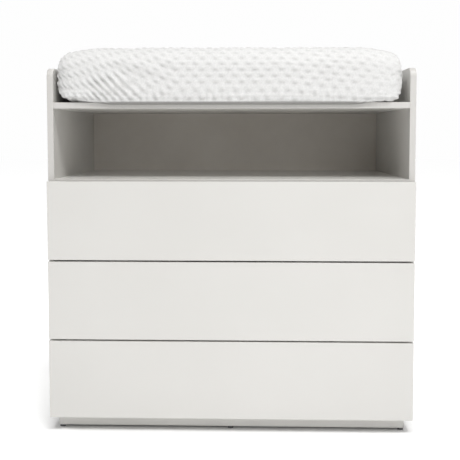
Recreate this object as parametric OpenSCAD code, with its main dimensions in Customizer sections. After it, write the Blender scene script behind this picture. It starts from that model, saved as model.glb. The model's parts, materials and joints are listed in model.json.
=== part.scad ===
// Changing table: a lacquered cabinet with three push-to-open drawers,
// an open bay, a raised-sided pad shelf and a covered, contoured changing pad.
// Millimetres. The floor is z = 0, the drawer fronts face -Y, and x = 0 is
// the middle of the cabinet.

/* [Carcass] */
// Width across the side panels
cab_w = 900; // [760:10:1100]
// Depth from the drawer fronts to the back edges of the side panels
cab_d = 500; // [480:5:560]
// Height of the side panels' top edge
side_h = 902; // [880:2:940]
// Thickness of the carcass boards
board_t = 15; // [15:1:18]
// Height of the carcass's lower edge, over the plinth
base_h = 38; // [34:1:60]
// Height of the deck's top face, which is the floor of the open bay
deck_top = 630; // [620:1:640]
// Height of the pad shelf's top face
shelf_top = 818; // [790:1:830]
// Radius of the side panels' upper corners
corner_r = 22; // [10:1:40]
// Thickness of the back panel
back_t = 6; // [4:1:8]
// Height of the rail behind the pad
rail_h = 72; // [50:1:80]

/* [Plinth] */
// Inset of the plinth from the cabinet's outer sides
plinth_inset = 16; // [15:1:40]
// Setback of the plinth from the carcass's front edge
plinth_setback = 15; // [5:1:60]
// Height of the floor glides
glide_h = 5.5; // [3:0.5:8]
// Diameter of the floor glides
glide_d = 14; // [10:1:15]

/* [Drawers] */
// Thickness of the drawer fronts
front_t = 18; // [16:1:20]
// Gap between a closed front and the carcass, which a push closes
push_gap = 3; // [2.5:0.5:4]
// Gap between one front and the next
front_gap = 4; // [3:0.5:6]
// Drop of the top front's upper edge below the deck's top face
front_drop = 5; // [2:0.5:8]
// Reveal of the side panel beside a front
side_reveal = 2; // [1:0.5:3]
// Height of the drawer boxes
box_h = 130; // [100:5:140]
// Length of the drawer boxes
box_l = 400; // [380:5:400]
// Thickness of the drawer box boards
box_t = 12; // [10:1:15]
// Thickness of the drawer bottoms
bottom_t = 4; // [3:0.5:5]
// Travel of a drawer from closed to fully open
drawer_travel = 380; // [340:5:380]

/* [Pad] */
// Width of the pad
pad_w = 851; // [700:1:852]
// Depth of the pad
pad_d = 425; // [380:1:428]
// Height of the pad's raised long sides
pad_h = 134; // [132:1:134]
// Depth of the valley between the raised sides
valley = 55; // [30:1:65]
// Distance between the two crests
crest_gap = 320; // [300:10:330]
// Offset of the pad's middle from the cabinet's middle
pad_x = -4.5; // [-5:0.5:5]
// Offset of the pad's middle from the cabinet's middle, towards the back
pad_y = -26; // [-28:1:4]
// Thickness of the cover fabric
cover_t = 2.5; // [2:0.5:4]

/* [Hidden] */
$fn = 48;
LEVELS = ["bottom", "middle", "top"];
PER_LEVEL = ["cabinet_runners", "intermediate_runners", "latch_plungers", "drawer_front", "box_front",
    "box_back", "box_left", "box_right", "box_bottom", "drawer_runners", "drawer_screws"];

LACQUER = "white";
RAW_BOARD = "gainsboro";
STEEL = "silver";
DARK_PLASTIC = "dimgray";
FIT = 0.1;              // radial room of a pin or screw in its hole

// Carcass planes
back_y = cab_d / 2;
fronts_y = -cab_d / 2;
carcass_y = fronts_y + front_t + push_gap;
inner_x = cab_w / 2 - board_t;
back_panel_y = back_y - 16;
shelf_d = back_panel_y - carcass_y;

// Joinery of the boards: a cam, its bolt and a dowel at each corner
CAM_D = 15;
CAM_DEPTH = 12;
CAM_INSET = 34;         // cam axis from the board's end
BOLT_D = 6.8;
BOLT_THREAD_D = 5;
BOLT_THREAD = 11;
DOWEL_D = 8;
DOWEL_IN_SIDE = 10;
DOWEL_IN_BOARD = 20;
joint_ys = [carcass_y + 60, back_panel_y - 60];
dowel_ys = [carcass_y + 92, back_panel_y - 92];
board_zs = [base_h + board_t / 2, deck_top - board_t / 2, shelf_top - board_t / 2];
rail_mid = shelf_top + rail_h / 2;
rail_y = back_panel_y - board_t / 2;

// Plinth
plinth_w = cab_w - 2 * plinth_inset;
plinth_y0 = carcass_y + plinth_setback;
plinth_y1 = back_panel_y - 14;
plinth_xs = [-1, 1] * (plinth_w / 2 - board_t / 2);
plinth_screw_xs = [-0.38, 0, 0.38] * plinth_w;
GLIDE_PIN = 6;          // shorter than the way up to a plinth screw's tip
GLIDE_PIN_D = 2;
glide_places = [for (x = [plinth_xs[0], 0, plinth_xs[1]])
    for (y = [plinth_y0 + board_t / 2, plinth_y1 - board_t / 2]) [x, y]];

// Drawer fronts and boxes
front_w = cab_w - 2 * side_reveal;
fronts_h = deck_top - front_drop - base_h;
front_h = (fronts_h - 2 * front_gap) / 3;
function front_z(i) = base_h + i * (front_h + front_gap);
RUNNER_T = 13;          // room that a runner takes beside the box
box_x = inner_x - RUNNER_T;
box_y0 = fronts_y + front_t;
box_y1 = box_y0 + box_l;
BOX_LIFT = 28;          // box bottom over the front's lower edge
function box_z(i) = front_z(i) + BOX_LIFT;
GROOVE_Z = 10;
GROOVE_DEPTH = 6;

// Runners: three nested steel sections with balls between them
RUNNER_WALL = 1.2;
runner_y0 = carcass_y + 3;
runner_l = box_l;
function runner_z(i) = box_z(i) + 45;
CABINET_SECTION = [0, 9.5, 22.5, 4.2];      // web face, open edge, half height, lip reach
MIDDLE_SECTION = [2.4, 11, 17, 3.7];
DRAWER_SECTION = [RUNNER_T, 5, 11.5, 0];

// Screws
SCREW_D = 4;
HEAD_D = 8;
HEAD_T = 2.2;
runner_screw_ys = [runner_y0 + 35, runner_y0 + runner_l - 60];
drawer_screw_ys = [box_y0 + 60, box_y1 - 60];

// Push-to-open latches, behind the drawer boxes' sides
LATCH_GAP = 3.5;        // tip to drawer box, so that a push can start
LATCH_L = 56;
LATCH_H = 18;
PLUNGER_D = 7;
latch_x = box_x - box_t / 2;
latch_inner_x = latch_x - 10;
latch_y0 = box_y1 + 8;
latch_screw_ys = [latch_y0 + 8, latch_y0 + LATCH_L - 8];

// Pad
PAD_CLEAR = 0.3;
pad_z0 = shelf_top + PAD_CLEAR;
PAD_TOP_R = 46;
PAD_FOOT_R = 30;
PAD_PLAN_R = 40;
HEM_REACH = 62;         // cover turned under the pad
ELASTIC_W = 6;
valley_r = (pow(crest_gap / 2, 2) + pow(valley, 2)) / (2 * valley);

// Wall brackets on the rail
BRACKET_T = 2;
BRACKET_W = 36;
BRACKET_DROP = 40;
BRACKET_HOLE_R = 2.75;
bracket_xs = [-330, 330];
rail_top = shelf_top + rail_h;
bracket_hole_z = rail_top - 22;

// ---- shared shapes -------------------------------------------------------

// A box from its two opposite corners
module block(a, b) {
    translate(a) cube(b - a);
}

// The same thing at the left and, mirrored, at the right
module both_sides() {
    for (side = [0, 1]) mirror([side, 0, 0]) children();
}

// A pan-head screw: its head's seat is at the origin and it points along +Z
module screw(length, head_d = HEAD_D, shank_d = SCREW_D) {
    difference() {
        union() {
            translate([0, 0, -HEAD_T]) cylinder(d = head_d, h = HEAD_T, $fn = 32);
            cylinder(d = shank_d, h = length, $fn = 24);
        }
        for (turn = [0, 90]) rotate([0, 0, turn])
            translate([-head_d * 0.3, -0.5, -HEAD_T - 1]) cube([head_d * 0.6, 1, 2]);
    }
}

// The hole that a screw's shank needs
module screw_hole(length, shank_d = SCREW_D) {
    translate([0, 0, -1]) cylinder(d = shank_d + 2 * FIT, h = length + 1 + FIT, $fn = 24);
}

// Places of the board joints in the right-hand side panel, as [x, y, z]
function places(ys) = [for (z = board_zs) for (y = ys) [inner_x, y, z]];

module at_places(list) {
    for (p = list) translate(p) children();
}

// A cam bolt: thread in the side panel, shank in the board, along -X from the joint
module cam_bolt(room = 0) {
    rotate([0, 90, 0]) cylinder(d = BOLT_THREAD_D + 2 * room, h = BOLT_THREAD + room, $fn = 24);
    translate([-CAM_INSET - room, 0, 0]) rotate([0, 90, 0])
        cylinder(d = BOLT_D + 2 * room, h = CAM_INSET + room, $fn = 24);
}

// A cam's pocket or, with no room, its body: a disc that opens downwards
module cam_body(room = 0) {
    translate([-CAM_INSET, 0, -board_t / 2 - room])
        cylinder(d = CAM_D + 2 * room, h = CAM_DEPTH + 2 * room, $fn = 40);
}

module cam_lock() {
    difference() {
        cam_body();
        cam_bolt(2 * FIT);
        translate([-CAM_INSET - 4, -0.8, -board_t / 2 - 1]) cube([8, 1.6, 3]);
        translate([-CAM_INSET - 0.8, -4, -board_t / 2 - 1]) cube([1.6, 8, 3]);
    }
}

module dowel(room = 0) {
    translate([-DOWEL_IN_BOARD - room, 0, 0]) rotate([0, 90, 0])
        cylinder(d = DOWEL_D + 2 * room, h = DOWEL_IN_BOARD + DOWEL_IN_SIDE + 2 * room, $fn = 24);
}

// The rail's own joints: one cam bolt and one dowel at each end
rail_bolt_place = [inner_x, rail_y, rail_mid - 16];
rail_dowel_place = [inner_x, rail_y, rail_mid + 16];

// The rail's cam opens to the back, so it is the same cam turned about X
module rail_cam_turn() {
    translate(rail_bolt_place) rotate([90, 0, 0]) children();
}

// Everything that a board or side panel is drilled for
module joinery_holes() {
    both_sides() {
        at_places(places(joint_ys)) {
            cam_bolt(FIT);
            cam_body(FIT);
        }
        at_places(places(dowel_ys)) dowel(FIT);
        translate(rail_bolt_place) cam_bolt(FIT);
        rail_cam_turn() cam_body(FIT);
        translate(rail_dowel_place) dowel(FIT);
    }
}

// ---- carcass -------------------------------------------------------------

module side_outline() {
    depth = back_y - carcass_y;
    translate([carcass_y, base_h]) square([depth, side_h - base_h - corner_r]);
    translate([carcass_y + corner_r, base_h]) square([depth - 2 * corner_r, side_h - base_h]);
    for (y = [carcass_y + corner_r, back_y - corner_r])
        translate([y, side_h - corner_r]) circle(r = corner_r, $fn = 96);
}

// The right-hand side panel; the left one is its mirror image
module side_board() {
    difference() {
        translate([inner_x, 0, 0]) rotate([90, 0, 90]) linear_extrude(board_t) side_outline();
        joinery_holes();
        for (i = [0:2]) {
            for (y = runner_screw_ys) runner_screw_place(i, y) screw_hole(12);
            for (y = latch_screw_ys) latch_screw_place(i, y) screw_hole(10, 3);
        }
    }
}

module side_panel_right() {
    color(LACQUER) side_board();
}

module side_panel_left() {
    color(LACQUER) mirror([1, 0, 0]) side_board();
}

// A full-width board whose top face is at z
module carcass_board(z) {
    difference() {
        block([-inner_x, carcass_y, z - board_t], [inner_x, back_panel_y, z]);
        joinery_holes();
        back_screw_places() screw_hole(20, 3);
    }
}

module pad_shelf() {
    color(LACQUER) carcass_board(shelf_top);
}

module deck_panel() {
    color(LACQUER) carcass_board(deck_top);
}

module bottom_panel() {
    color(LACQUER) difference() {
        carcass_board(base_h + board_t);
        plinth_screw_places() translate([0, 0, -40]) cylinder(d = SCREW_D + 2 * FIT, h = 60, $fn = 24);
    }
}

module back_panel() {
    color(LACQUER) difference() {
        block([-inner_x, back_panel_y, base_h], [inner_x, back_panel_y + back_t, shelf_top]);
        back_screw_places() screw_hole(20, 3);
    }
}

module back_rail() {
    color(LACQUER) difference() {
        block([-inner_x, back_panel_y - board_t, shelf_top], [inner_x, back_panel_y, rail_top]);
        joinery_holes();
        bracket_screw_places() screw_hole(16, 3);
    }
}

// Screws through the back panel into the three boards' back edges
module back_screw_places() {
    for (z = board_zs) for (x = [-0.45, -0.15, 0.15, 0.45])
        translate([x * cab_w * 0.94, back_panel_y + back_t, z]) rotate([90, 0, 0]) children();
}

module back_panel_screws() {
    color(STEEL) back_screw_places() screw(20, head_d = 7, shank_d = 3);
}

module cam_locks() {
    color(STEEL) both_sides() {
        at_places(places(joint_ys)) cam_lock();
        rail_cam_turn() cam_lock();
    }
}

module cam_bolts() {
    color(STEEL) both_sides() {
        at_places(places(joint_ys)) cam_bolt();
        translate(rail_bolt_place) cam_bolt();
    }
}

module dowels() {
    color("burlywood") both_sides() {
        at_places(places(dowel_ys)) dowel();
        translate(rail_dowel_place) dowel();
    }
}

// ---- plinth --------------------------------------------------------------

module plinth_board(a, b) {
    difference() {
        block([a[0], a[1], glide_h], [b[0], b[1], base_h]);
        plinth_screw_places() screw_hole(board_t + 26);
        for (p = glide_places) translate([p[0], p[1], glide_h - 1])
            cylinder(d = GLIDE_PIN_D + 2 * FIT, h = GLIDE_PIN + 1 + FIT, $fn = 24);
    }
}

module plinth_front() {
    color(LACQUER) plinth_board([-plinth_w / 2, plinth_y0], [plinth_w / 2, plinth_y0 + board_t]);
}

module plinth_back() {
    color(LACQUER) plinth_board([-plinth_w / 2, plinth_y1 - board_t], [plinth_w / 2, plinth_y1]);
}

module plinth_end(side) {
    x = side * (plinth_w / 2 - board_t / 2);
    plinth_board([x - board_t / 2, plinth_y0 + board_t], [x + board_t / 2, plinth_y1 - board_t]);
}

module plinth_left() {
    color(LACQUER) plinth_end(-1);
}

module plinth_right() {
    color(LACQUER) plinth_end(1);
}

// Screws down through the bottom panel into the plinth boards' top edges
module plinth_screw_places() {
    z = base_h + board_t;
    for (x = plinth_screw_xs) for (y = [plinth_y0 + board_t / 2, plinth_y1 - board_t / 2])
        translate([x, y, z]) rotate([180, 0, 0]) children();
    for (x = plinth_xs) translate([x, 0, z]) rotate([180, 0, 0]) children();
}

module plinth_screws() {
    color(STEEL) plinth_screw_places() screw(board_t + 25);
}

module floor_glides() {
    color(DARK_PLASTIC) for (p = glide_places) translate(p) {
        cylinder(d = glide_d, h = glide_h, $fn = 40);
        translate([0, 0, glide_h]) cylinder(d = GLIDE_PIN_D, h = GLIDE_PIN, $fn = 24);
    }
}

// ---- wall brackets -------------------------------------------------------

module wall_brackets() {
    color(STEEL) for (x = bracket_xs) difference() {
        union() {
            block([x - BRACKET_W / 2, back_panel_y - board_t + 2, rail_top],
                  [x + BRACKET_W / 2, back_y, rail_top + BRACKET_T]);
            block([x - BRACKET_W / 2, back_y - BRACKET_T, rail_top - BRACKET_DROP],
                  [x + BRACKET_W / 2, back_y, rail_top]);
        }
        translate([x, back_y + 1, bracket_hole_z]) rotate([90, 0, 0])
            cylinder(r = BRACKET_HOLE_R, h = BRACKET_T + 2, $fn = 32);
        bracket_screw_places() screw_hole(16, 3);
    }
}

module bracket_screw_places() {
    for (x = bracket_xs) for (dx = [-10, 10])
        translate([x + dx, rail_y, rail_top + BRACKET_T]) rotate([180, 0, 0]) children();
}

module bracket_screws() {
    color(STEEL) bracket_screw_places() screw(15, head_d = 6.5, shank_d = 3);
}

// ---- runners -------------------------------------------------------------

// One pressed section at the right-hand side, open towards its lips. Its x runs
// inwards from the side panel. section = [web face, open edge, half height, lip reach]
module runner_section(section) {
    web = section[0];
    open = section[1];
    half = section[2];
    lip = section[3];
    toward = open > web ? 1 : -1;
    wall = RUNNER_WALL;
    x0 = min(web, open);
    x1 = max(web, open);
    translate([min(web, web + toward * wall), -half]) square([wall, 2 * half]);
    for (z = [-half, half - wall]) translate([x0, z]) square([x1 - x0, wall]);
    if (lip > 0) for (z = [-half, half - lip])
        translate([open - wall, z]) square([wall, lip]);
}

module runner(section, i, y0, length) {
    both_sides() translate([inner_x, y0 + length, runner_z(i)])
        rotate([90, 0, 0]) linear_extrude(length) mirror([1, 0]) runner_section(section);
}

// A screw through the cabinet section's web into the side panel
module runner_screw_place(i, y) {
    translate([inner_x - RUNNER_WALL, y, runner_z(i)]) rotate([0, 90, 0]) children();
}

module cabinet_runners(i) {
    color(STEEL) difference() {
        runner(CABINET_SECTION, i, runner_y0, runner_l);
        both_sides() for (y = runner_screw_ys) runner_screw_place(i, y) screw_hole(12);
    }
}

module intermediate_runners(i) {
    color(STEEL) difference() {
        runner(MIDDLE_SECTION, i, runner_y0 + 4, runner_l - 10);
        both_sides() for (y = runner_screw_ys)
            translate([inner_x - 6, y, runner_z(i)]) rotate([0, 90, 0]) cylinder(d = 9, h = 12);
    }
}

module drawer_runners(i) {
    color(STEEL) difference() {
        runner(DRAWER_SECTION, i, runner_y0, box_y1 - runner_y0 - 2);
        both_sides() for (y = drawer_screw_ys) drawer_runner_screw_place(i, y) screw_hole(10, 3);
    }
}

// Countersunk heads would foul the middle section, so the heads are thin and flat
module runner_screws() {
    color(STEEL) both_sides() for (i = [0:2]) for (y = runner_screw_ys)
        runner_screw_place(i, y) flat_screw(12, SCREW_D);
}

module flat_screw(length, shank_d) {
    translate([0, 0, -0.9]) cylinder(d = 7, h = 0.9, $fn = 32);
    cylinder(d = shank_d, h = length, $fn = 24);
}

// ---- push-to-open latches ------------------------------------------------

module latch_body(i) {
    z = runner_z(i);
    difference() {
        block([latch_inner_x, latch_y0, z - LATCH_H / 2], [inner_x, latch_y0 + LATCH_L, z + LATCH_H / 2]);
        translate([latch_x, latch_y0 - 1, z]) rotate([-90, 0, 0])
            cylinder(d = PLUNGER_D + 2 * FIT, h = LATCH_L - 2);
        for (y = latch_screw_ys) latch_screw_place(i, y) {
            screw_hole(10, 3);
            translate([0, 0, -30]) cylinder(d = 6, h = 26);
        }
    }
}

// The latch's fixing screws sit above and below the plunger's bore, in two lugs
module latch_screw_place(i, y) {
    up = y < latch_y0 + LATCH_L / 2 ? 1 : -1;
    translate([inner_x - 4, y, runner_z(i) + up * (LATCH_H / 2 + 4)]) rotate([0, 90, 0]) children();
}

module latch_lugs(i) {
    difference() {
        for (y = latch_screw_ys) {
            up = y < latch_y0 + LATCH_L / 2 ? 1 : -1;
            z = runner_z(i) + up * (LATCH_H / 2 + 4);
            block([inner_x - 4, y - 6, z - 6], [inner_x, y + 6, z + 6]);
        }
        for (y = latch_screw_ys) latch_screw_place(i, y) screw_hole(10, 3);
    }
}

module push_latches() {
    color(DARK_PLASTIC) both_sides() for (i = [0:2]) {
        latch_body(i);
        latch_lugs(i);
    }
}

module latch_screws() {
    color(STEEL) both_sides() for (i = [0:2]) for (y = latch_screw_ys)
        latch_screw_place(i, y) flat_screw(9, 3);
}

module latch_plungers(i) {
    tip_y = box_y1 + LATCH_GAP;
    color("whitesmoke") both_sides() translate([latch_x, tip_y, runner_z(i)]) rotate([-90, 0, 0]) {
        cylinder(d = PLUNGER_D + 1, h = 2.5, $fn = 32);
        cylinder(d = PLUNGER_D, h = latch_y0 + LATCH_L - 6 - tip_y, $fn = 32);
    }
}

// ---- drawers -------------------------------------------------------------

module drawer_front(i) {
    z = front_z(i);
    color(LACQUER) difference() {
        block([-front_w / 2, fronts_y, z], [front_w / 2, fronts_y + front_t, z + front_h]);
        front_screw_places(i) screw_hole(24);
    }
}

// Room in the box boards for the bottom, all round
module bottom_groove(i) {
    z = box_z(i) + GROOVE_Z;
    reach = GROOVE_DEPTH + FIT;
    block([-box_x + box_t - reach, box_y0 + box_t - reach, z - FIT],
          [box_x - box_t + reach, box_y1 - box_t + reach, z + bottom_t + FIT]);
}

module box_end(i, y) {
    z = box_z(i);
    x = box_x - box_t;
    difference() {
        block([-x, y, z], [x, y + box_t, z + box_h]);
        bottom_groove(i);
        front_screw_places(i) screw_hole(24);
        corner_screw_places(i) screw_hole(32);
    }
}

module box_front(i) {
    color(RAW_BOARD) box_end(i, box_y0);
}

module box_back(i) {
    color(RAW_BOARD) box_end(i, box_y1 - box_t);
}

// The right-hand box side; the left one is its mirror image
module box_side(i) {
    z = box_z(i);
    difference() {
        block([box_x - box_t, box_y0, z], [box_x, box_y1, z + box_h]);
        bottom_groove(i);
        corner_screw_places(i) {
            translate([0, 0, -HEAD_T - 1]) cylinder(d = HEAD_D + 2 * FIT, h = HEAD_T + 1);
            screw_hole(32);
        }
        for (y = drawer_screw_ys) drawer_runner_screw_place(i, y) screw_hole(10, 3);
    }
}

module box_right(i) {
    color(RAW_BOARD) box_side(i);
}

module box_left(i) {
    color(RAW_BOARD) mirror([1, 0, 0]) box_side(i);
}

module box_bottom(i) {
    z = box_z(i) + GROOVE_Z;
    reach = GROOVE_DEPTH - 0.5;
    color(RAW_BOARD)
        block([-box_x + box_t - reach, box_y0 + box_t - reach, z],
              [box_x - box_t + reach, box_y1 - box_t + reach, z + bottom_t]);
}

// Four screws from inside the box into the front
module front_screw_places(i) {
    for (x = [-0.36, 0.36] * cab_w) for (dz = [35, box_h - 30])
        translate([x, box_y0 + box_t, box_z(i) + dz]) rotate([90, 0, 0]) children();
}

// Two screws through each box side into each end, sunk in counterbores
module corner_screw_places(i) {
    both_sides() for (y = [box_y0 + box_t / 2, box_y1 - box_t / 2]) for (dz = [24, box_h - 20])
        translate([box_x - HEAD_T - 0.5, y, box_z(i) + dz]) rotate([0, -90, 0]) children();
}

module drawer_runner_screw_place(i, y) {
    translate([box_x + RUNNER_WALL, y, runner_z(i)]) rotate([0, -90, 0]) children();
}

module drawer_screws(i) {
    color(STEEL) {
        front_screw_places(i) screw(box_t + 11);
        corner_screw_places(i) screw(30);
        both_sides() for (y = drawer_screw_ys) drawer_runner_screw_place(i, y) flat_screw(9, 3);
    }
}

// ---- pad -----------------------------------------------------------------

// The pad's outline seen along a side that is w wide, drawn in by d: a rounded
// rectangle with larger corners at the top than at the foot
module pad_outline(w, d) {
    half = w / 2 - d;
    top = PAD_TOP_R - d;
    foot = PAD_FOOT_R - d;
    translate([-half, d + foot]) square([2 * half, pad_h - 2 * d - foot - top]);
    translate([-(half - foot), d]) square([2 * (half - foot), pad_h / 2 - d]);
    translate([-(half - top), pad_h / 2]) square([2 * (half - top), pad_h / 2 - d]);
    for (side = [-1, 1]) {
        translate([side * (half - foot), d + foot]) circle(r = foot);
        translate([side * (half - top), pad_h - d - top]) circle(r = top);
    }
}

// The pad's outline from above, drawn in by d
module pad_plan(d) {
    corner = PAD_PLAN_R - d;
    x = pad_w / 2 - d;
    y = pad_d / 2 - d;
    square([2 * x, 2 * (y - corner)], center = true);
    square([2 * (x - corner), 2 * y], center = true);
    for (sx = [-1, 1]) for (sy = [-1, 1]) translate([sx * (x - corner), sy * (y - corner)])
        circle(r = corner);
}

// The pad's body, drawn in by d all round, with the valley along it
module pad_form(d) {
    translate([pad_x, pad_y, pad_z0]) difference() {
        intersection() {
            translate([-pad_w, 0, 0]) rotate([90, 0, 90]) linear_extrude(2 * pad_w) pad_outline(pad_d, d);
            translate([0, pad_d, 0]) rotate([90, 0, 0]) linear_extrude(2 * pad_d) pad_outline(pad_w, d);
            linear_extrude(pad_h) pad_plan(d);
        }
        translate([-pad_w, 0, pad_h - valley + valley_r]) rotate([0, 90, 0])
            cylinder(r = valley_r + d, h = 2 * pad_w, $fn = 120);
    }
}

// The opening that the cover's elastic hem runs round, drawn in by d
module hem_opening(d, z0, z1) {
    x = pad_w / 2 - HEM_REACH - d;
    y = pad_d / 2 - HEM_REACH - d;
    block([pad_x - x, pad_y - y, z0], [pad_x + x, pad_y + y, z1]);
}

module pad_core() {
    color("ivory") pad_form(cover_t + 0.5);
}

module pad_cover() {
    color("white") difference() {
        pad_form(0);
        pad_form(cover_t);
        hem_opening(0, pad_z0 - 5, pad_z0 + cover_t + 3);
    }
}

module pad_elastic() {
    z0 = pad_z0 + 0.2;
    color("white") difference() {
        hem_opening(0, z0, z0 + 1.8);
        hem_opening(ELASTIC_W, z0 - 1, z0 + 3);
    }
}

// ---- output --------------------------------------------------------------

side_panel_left();
side_panel_right();
pad_shelf();
deck_panel();
bottom_panel();
back_panel();
back_rail();
plinth_front();
plinth_back();
plinth_left();
plinth_right();
floor_glides();
cam_locks();
cam_bolts();
dowels();
plinth_screws();
back_panel_screws();
wall_brackets();
bracket_screws();
runner_screws();
push_latches();
latch_screws();
pad_core();
pad_cover();
pad_elastic();
for (i = [0:2]) {
    cabinet_runners(i);
    intermediate_runners(i);
    latch_plungers(i);
    drawer_front(i);
    box_front(i);
    box_back(i);
    box_left(i);
    box_right(i);
    box_bottom(i);
    drawer_runners(i);
    drawer_screws(i);
}
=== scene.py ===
# %% [markdown]
# # A changing table, piece by piece
#
# The cabinet comes from a CAD model that already has its true sizes. Here each
# board gets the small radius that a lacquered edge has, the metal and plastic
# pieces get their finishes, and the changing pad is made as sewn, stuffed cloth.
# Everything is in metres, the floor is z = 0 and the drawers face -Y.

import json
import math

import bmesh
import bpy
import numpy as np
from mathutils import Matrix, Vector

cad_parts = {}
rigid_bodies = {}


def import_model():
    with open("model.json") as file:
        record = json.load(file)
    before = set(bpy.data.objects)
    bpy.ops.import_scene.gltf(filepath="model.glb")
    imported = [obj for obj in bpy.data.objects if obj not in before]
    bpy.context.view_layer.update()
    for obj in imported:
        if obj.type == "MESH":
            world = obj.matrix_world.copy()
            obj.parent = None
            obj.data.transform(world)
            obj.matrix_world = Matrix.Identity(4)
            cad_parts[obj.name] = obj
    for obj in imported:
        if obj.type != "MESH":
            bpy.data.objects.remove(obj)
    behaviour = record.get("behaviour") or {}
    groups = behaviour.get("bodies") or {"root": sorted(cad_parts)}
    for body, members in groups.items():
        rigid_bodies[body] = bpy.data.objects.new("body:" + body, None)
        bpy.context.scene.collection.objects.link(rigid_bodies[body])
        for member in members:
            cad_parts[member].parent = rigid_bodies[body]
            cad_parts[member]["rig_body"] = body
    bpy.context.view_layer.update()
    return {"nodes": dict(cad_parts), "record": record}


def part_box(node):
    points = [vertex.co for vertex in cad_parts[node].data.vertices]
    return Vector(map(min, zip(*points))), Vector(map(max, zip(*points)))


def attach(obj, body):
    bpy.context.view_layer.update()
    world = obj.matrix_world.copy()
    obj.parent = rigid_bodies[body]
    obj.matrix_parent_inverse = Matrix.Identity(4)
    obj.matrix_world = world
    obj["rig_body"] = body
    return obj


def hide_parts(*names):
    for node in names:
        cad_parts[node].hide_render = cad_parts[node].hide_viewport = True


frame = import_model()
LEVELS = ("bottom", "middle", "top")

# %% [markdown]
# ## Camera
# A catalogue picture of furniture is taken from a little above the middle of
# the piece, with the lens shifted down so that the uprights stay nearly
# upright. Here the shift does half of that, and a slight tilt does the rest.

# %% Camera
CAMERA_PLACE = Vector((0.0456, -1.998, 0.738))
CAMERA_TURN = math.radians(1.507)    # to the left
CAMERA_DIP = math.radians(3.319)     # downwards
LENS = 56.63
LENS_SHIFT = -0.115                  # downwards, in widths of the picture

camera_data = bpy.data.cameras.new("camera")
camera_data.lens = LENS
camera_data.shift_y = LENS_SHIFT
camera = bpy.data.objects.new("camera", camera_data)
camera.location = CAMERA_PLACE
camera.rotation_euler = (math.pi / 2 - CAMERA_DIP, 0, CAMERA_TURN)
bpy.context.scene.collection.objects.link(camera)
bpy.context.scene.camera = camera
print("camera stands", round(-CAMERA_PLACE.y, 2), "m from the middle of the table")

# %% [markdown]
# ## Floor and light
# White furniture on a white ground shows its form only through soft shadows.
# It stands on a sweep that glows, though it is no lamp, so it stays white even
# in the shade; the glow fades towards the cabinet's foot, and that fade is a
# painted shadow that grounds it. The camera sees the full glow, and only part of
# it reaches the cabinet, which would otherwise be lit from below. A wide soft box
# high above the front gives the boards their brightness and the cloth its relief,
# a lower one opens up the bay, small ones above and at both sides keep the ends
# readable, and a dim white fill all round stands for the rest of the studio.

# %% Floor and light
FLOOR_SIZE = 40
FLOOR_WHITE = (0.93, 0.93, 0.93, 1)
FILL = 0.13
STUDIO_WHITE = 0.99
SWEEP_GLOW = 0.86
SWEEP_BOUNCE = 0.3  # how much of the glow reaches the cabinet
GLOW_NEAR = 0.01    # metres from the foot where the glow starts
GLOW_FAR = 1.0      # and where it is full
GLOW_RISE = 0.35    # how fast it grows in between: less is faster


def add(tree, kind, settings=None, **sockets):
    """Add a node, set its settings, and fill or link its sockets, by name or as input0, input1 and so on."""
    node = tree.nodes.new(kind)
    for key, value in (settings or {}).items():
        setattr(node, key, value)
    for key, value in sockets.items():
        socket = node.inputs[int(key[5:])] if key.startswith("input") else node.inputs[key.replace("_", " ")]
        if isinstance(value, bpy.types.NodeSocket):
            tree.links.new(value, socket)
        else:
            socket.default_value = value
    return node


def area_light(name, place, target, size, power):
    data = bpy.data.lights.new(name, "AREA")
    data.shape = "RECTANGLE"
    data.size, data.size_y = size
    data.energy = power
    light = bpy.data.objects.new(name, data)
    light.location = place
    light.rotation_euler = (Vector(target) - Vector(place)).to_track_quat("-Z", "Y").to_euler()
    bpy.context.scene.collection.objects.link(light)
    return light


def make_sweep():
    """Matt white paper whose glow grows with the distance from the cabinet's foot, so that the dimmer ring near the
    foot is a painted shadow.
    """
    material = bpy.data.materials.new("sweep")
    material.use_nodes = True
    tree = material.node_tree
    shader = tree.nodes["Principled BSDF"]
    shader.inputs["Base Color"].default_value = FLOOR_WHITE
    shader.inputs["Roughness"].default_value = 0.9
    shader.inputs["Emission Color"].default_value = (1, 1, 1, 1)
    low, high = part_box("plinth_front")[0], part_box("plinth_back")[1]
    middle, half = (low + high) / 2, (high - low) / 2
    place = add(tree, "ShaderNodeTexCoord").outputs["Object"]
    offset = add(tree, "ShaderNodeVectorMath", {"operation": "SUBTRACT"}, input0=place, input1=middle)
    size = add(tree, "ShaderNodeVectorMath", {"operation": "ABSOLUTE"}, input0=offset.outputs[0])
    beyond = add(tree, "ShaderNodeVectorMath", {"operation": "SUBTRACT"}, input0=size.outputs[0],
                 input1=(half.x, half.y, 10))
    outside = add(tree, "ShaderNodeVectorMath", {"operation": "MAXIMUM"}, input0=beyond.outputs[0], input1=(0, 0, 0))
    away = add(tree, "ShaderNodeVectorMath", {"operation": "LENGTH"}, input0=outside.outputs[0])
    # painted shadow: the glow is weakest next to the foot and grows away from it
    ramp = add(tree, "ShaderNodeMapRange", Value=away.outputs["Value"], From_Min=GLOW_NEAR, From_Max=GLOW_FAR)
    rise = add(tree, "ShaderNodeMath", {"operation": "POWER"}, input0=ramp.outputs[0], input1=GLOW_RISE)
    seen = add(tree, "ShaderNodeLightPath").outputs["Is Camera Ray"]
    level = add(tree, "ShaderNodeMapRange", Value=seen, To_Min=SWEEP_BOUNCE, To_Max=SWEEP_GLOW)
    glow = add(tree, "ShaderNodeMath", {"operation": "MULTIPLY"}, input0=rise.outputs[0], input1=level.outputs[0])
    tree.links.new(glow.outputs[0], shader.inputs["Emission Strength"])
    return material


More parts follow.
